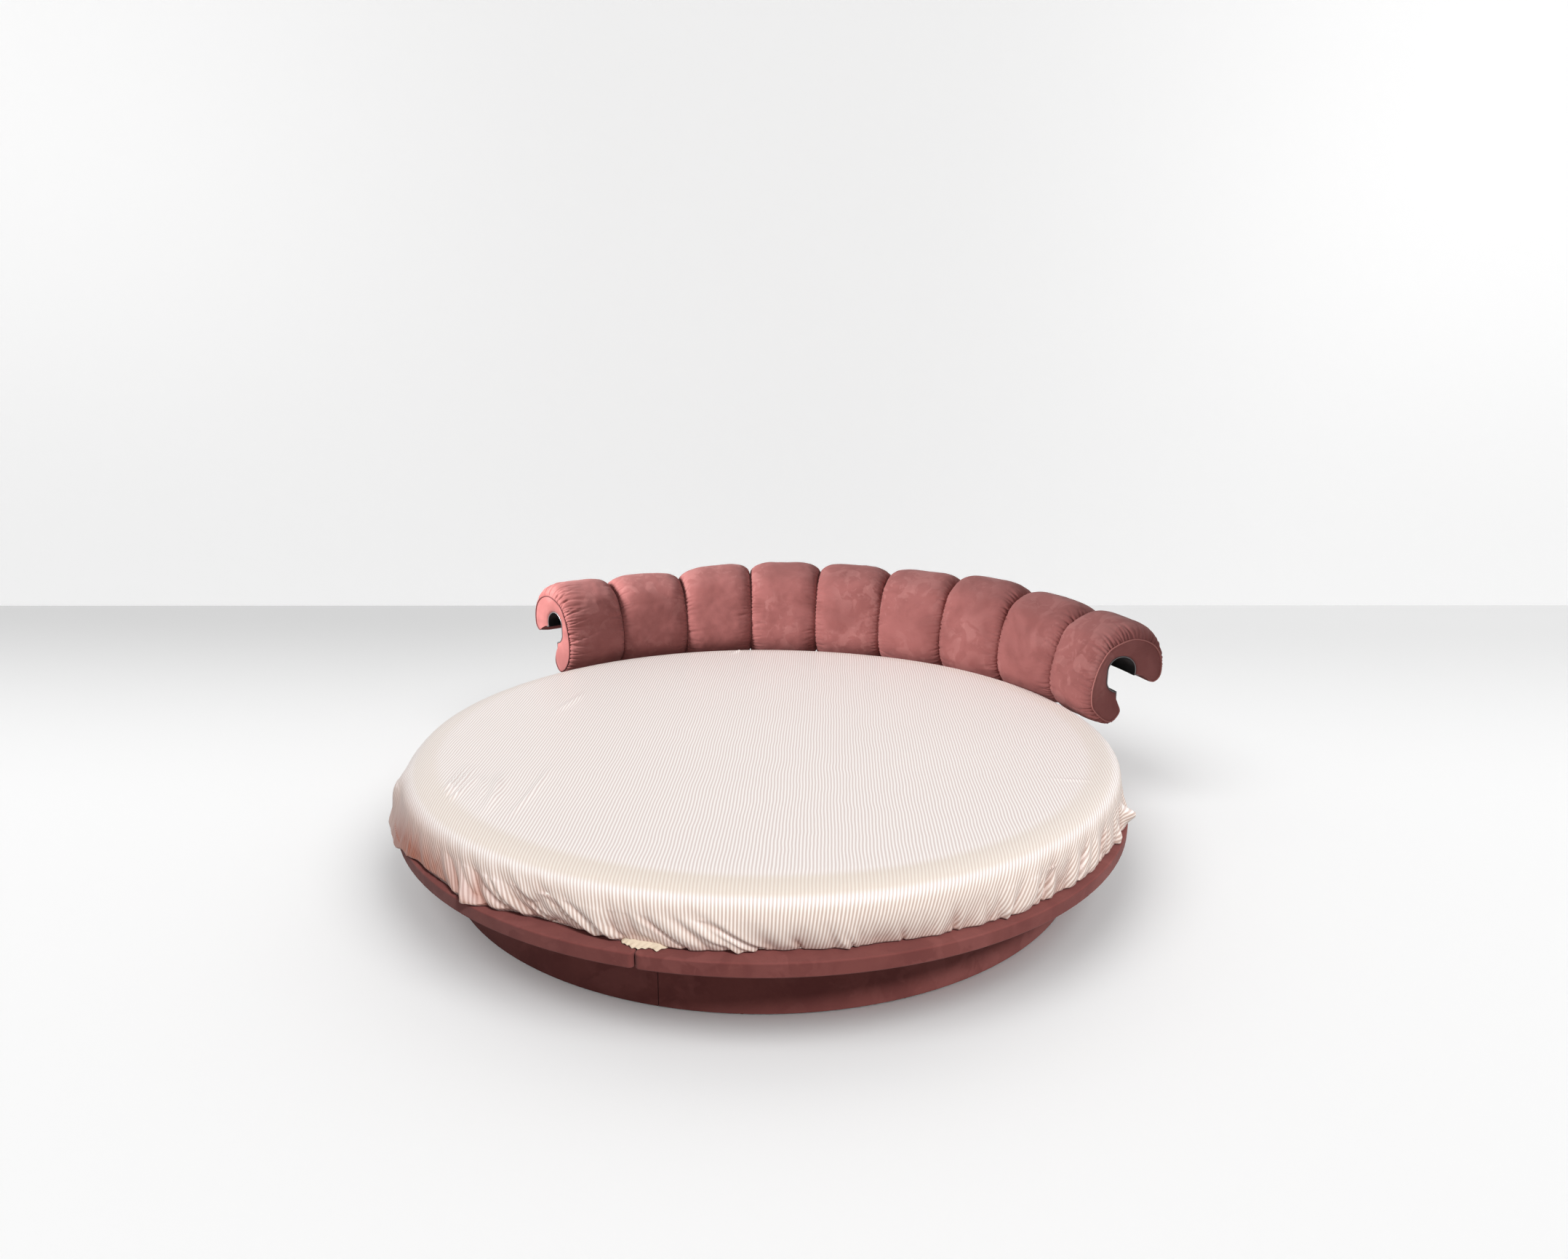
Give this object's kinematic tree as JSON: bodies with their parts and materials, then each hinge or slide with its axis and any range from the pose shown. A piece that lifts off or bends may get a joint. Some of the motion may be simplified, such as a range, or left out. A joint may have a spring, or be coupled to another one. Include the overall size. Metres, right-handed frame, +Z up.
{
  "type": "round bed",
  "caption": "Round upholstered bed with a recessed plinth, a round mattress in a gathered fitted sheet, and a low curved headboard of padded hook-shaped segments.",
  "frame": {"origin": "on the floor, under the centre of the round base", "axes": "+Z up; +Y from the centre towards the middle of the headboard; +X to the right of someone who stands at the foot and looks at the headboard"},
  "size_m": [2.5053, 2.5293, 0.7089],
  "materials": {
    "base_cover": "soft napped suede, dusty rose",
    "pad_cover": "soft napped suede, dusty rose",
    "sheet": "cream satin with fine woven stripes",
    "mattress": "matte woven cover",
    "elastic": "matte covered elastic cord",
    "felt": "matte felt",
    "board": "plain unfinished board",
    "black_shell": "fine matte black",
    "black_steel": "satin black paint",
    "fastener_steel": "bright zinc"
  },
  "bodies": {
    "base": {"platform_left": "board", "plinth_wall_left": "board", "spine_left": "board", "rib_left_front": "board", "rib_left_middle": "board", "rib_left_back": "board", "plinth_cover_left": "base_cover", "rim_cover_left": "base_cover", "platform_right": "board", "plinth_wall_right": "board", "spine_right": "board", "rib_right_front": "board", "rib_right_middle": "board", "rib_right_back": "board", "plinth_cover_right": "base_cover", "rim_cover_right": "base_cover", "joint_bolts": "fastener_steel", "joint_nuts": "fastener_steel", "joint_washers": "fastener_steel", "platform_screws": "fastener_steel", "floor_pads": "felt", "centre_floor_pad": "felt", "headboard_shell_1": "black_shell", "headboard_shell_2": "black_shell", "headboard_shell_3": "black_shell", "headboard_shell_4": "black_shell", "headboard_shell_5": "black_shell", "headboard_shell_6": "black_shell", "headboard_shell_7": "black_shell", "headboard_shell_8": "black_shell", "headboard_shell_9": "black_shell", "headboard_pad_1": "pad_cover", "headboard_pad_2": "pad_cover", "headboard_pad_3": "pad_cover", "headboard_pad_4": "pad_cover", "headboard_pad_5": "pad_cover", "headboard_pad_6": "pad_cover", "headboard_pad_7": "pad_cover", "headboard_pad_8": "pad_cover", "headboard_pad_9": "pad_cover", "headboard_rail": "black_steel", "headboard_bracket_left": "black_steel", "headboard_bracket_centre": "black_steel", "headboard_bracket_right": "black_steel", "shell_screws": "fastener_steel", "rail_bolts": "fastener_steel", "bracket_screws": "fastener_steel"},
    "mattress": {"mattress_core": "mattress", "fitted_sheet": "sheet", "sheet_elastic": "elastic"}
  },
  "joints": [
    {"name": "mattress_lift", "type": "slide", "parent": "base", "child": "mattress", "axis": [0, 0, 1], "range_m": [0, 0.4]}
  ]
}
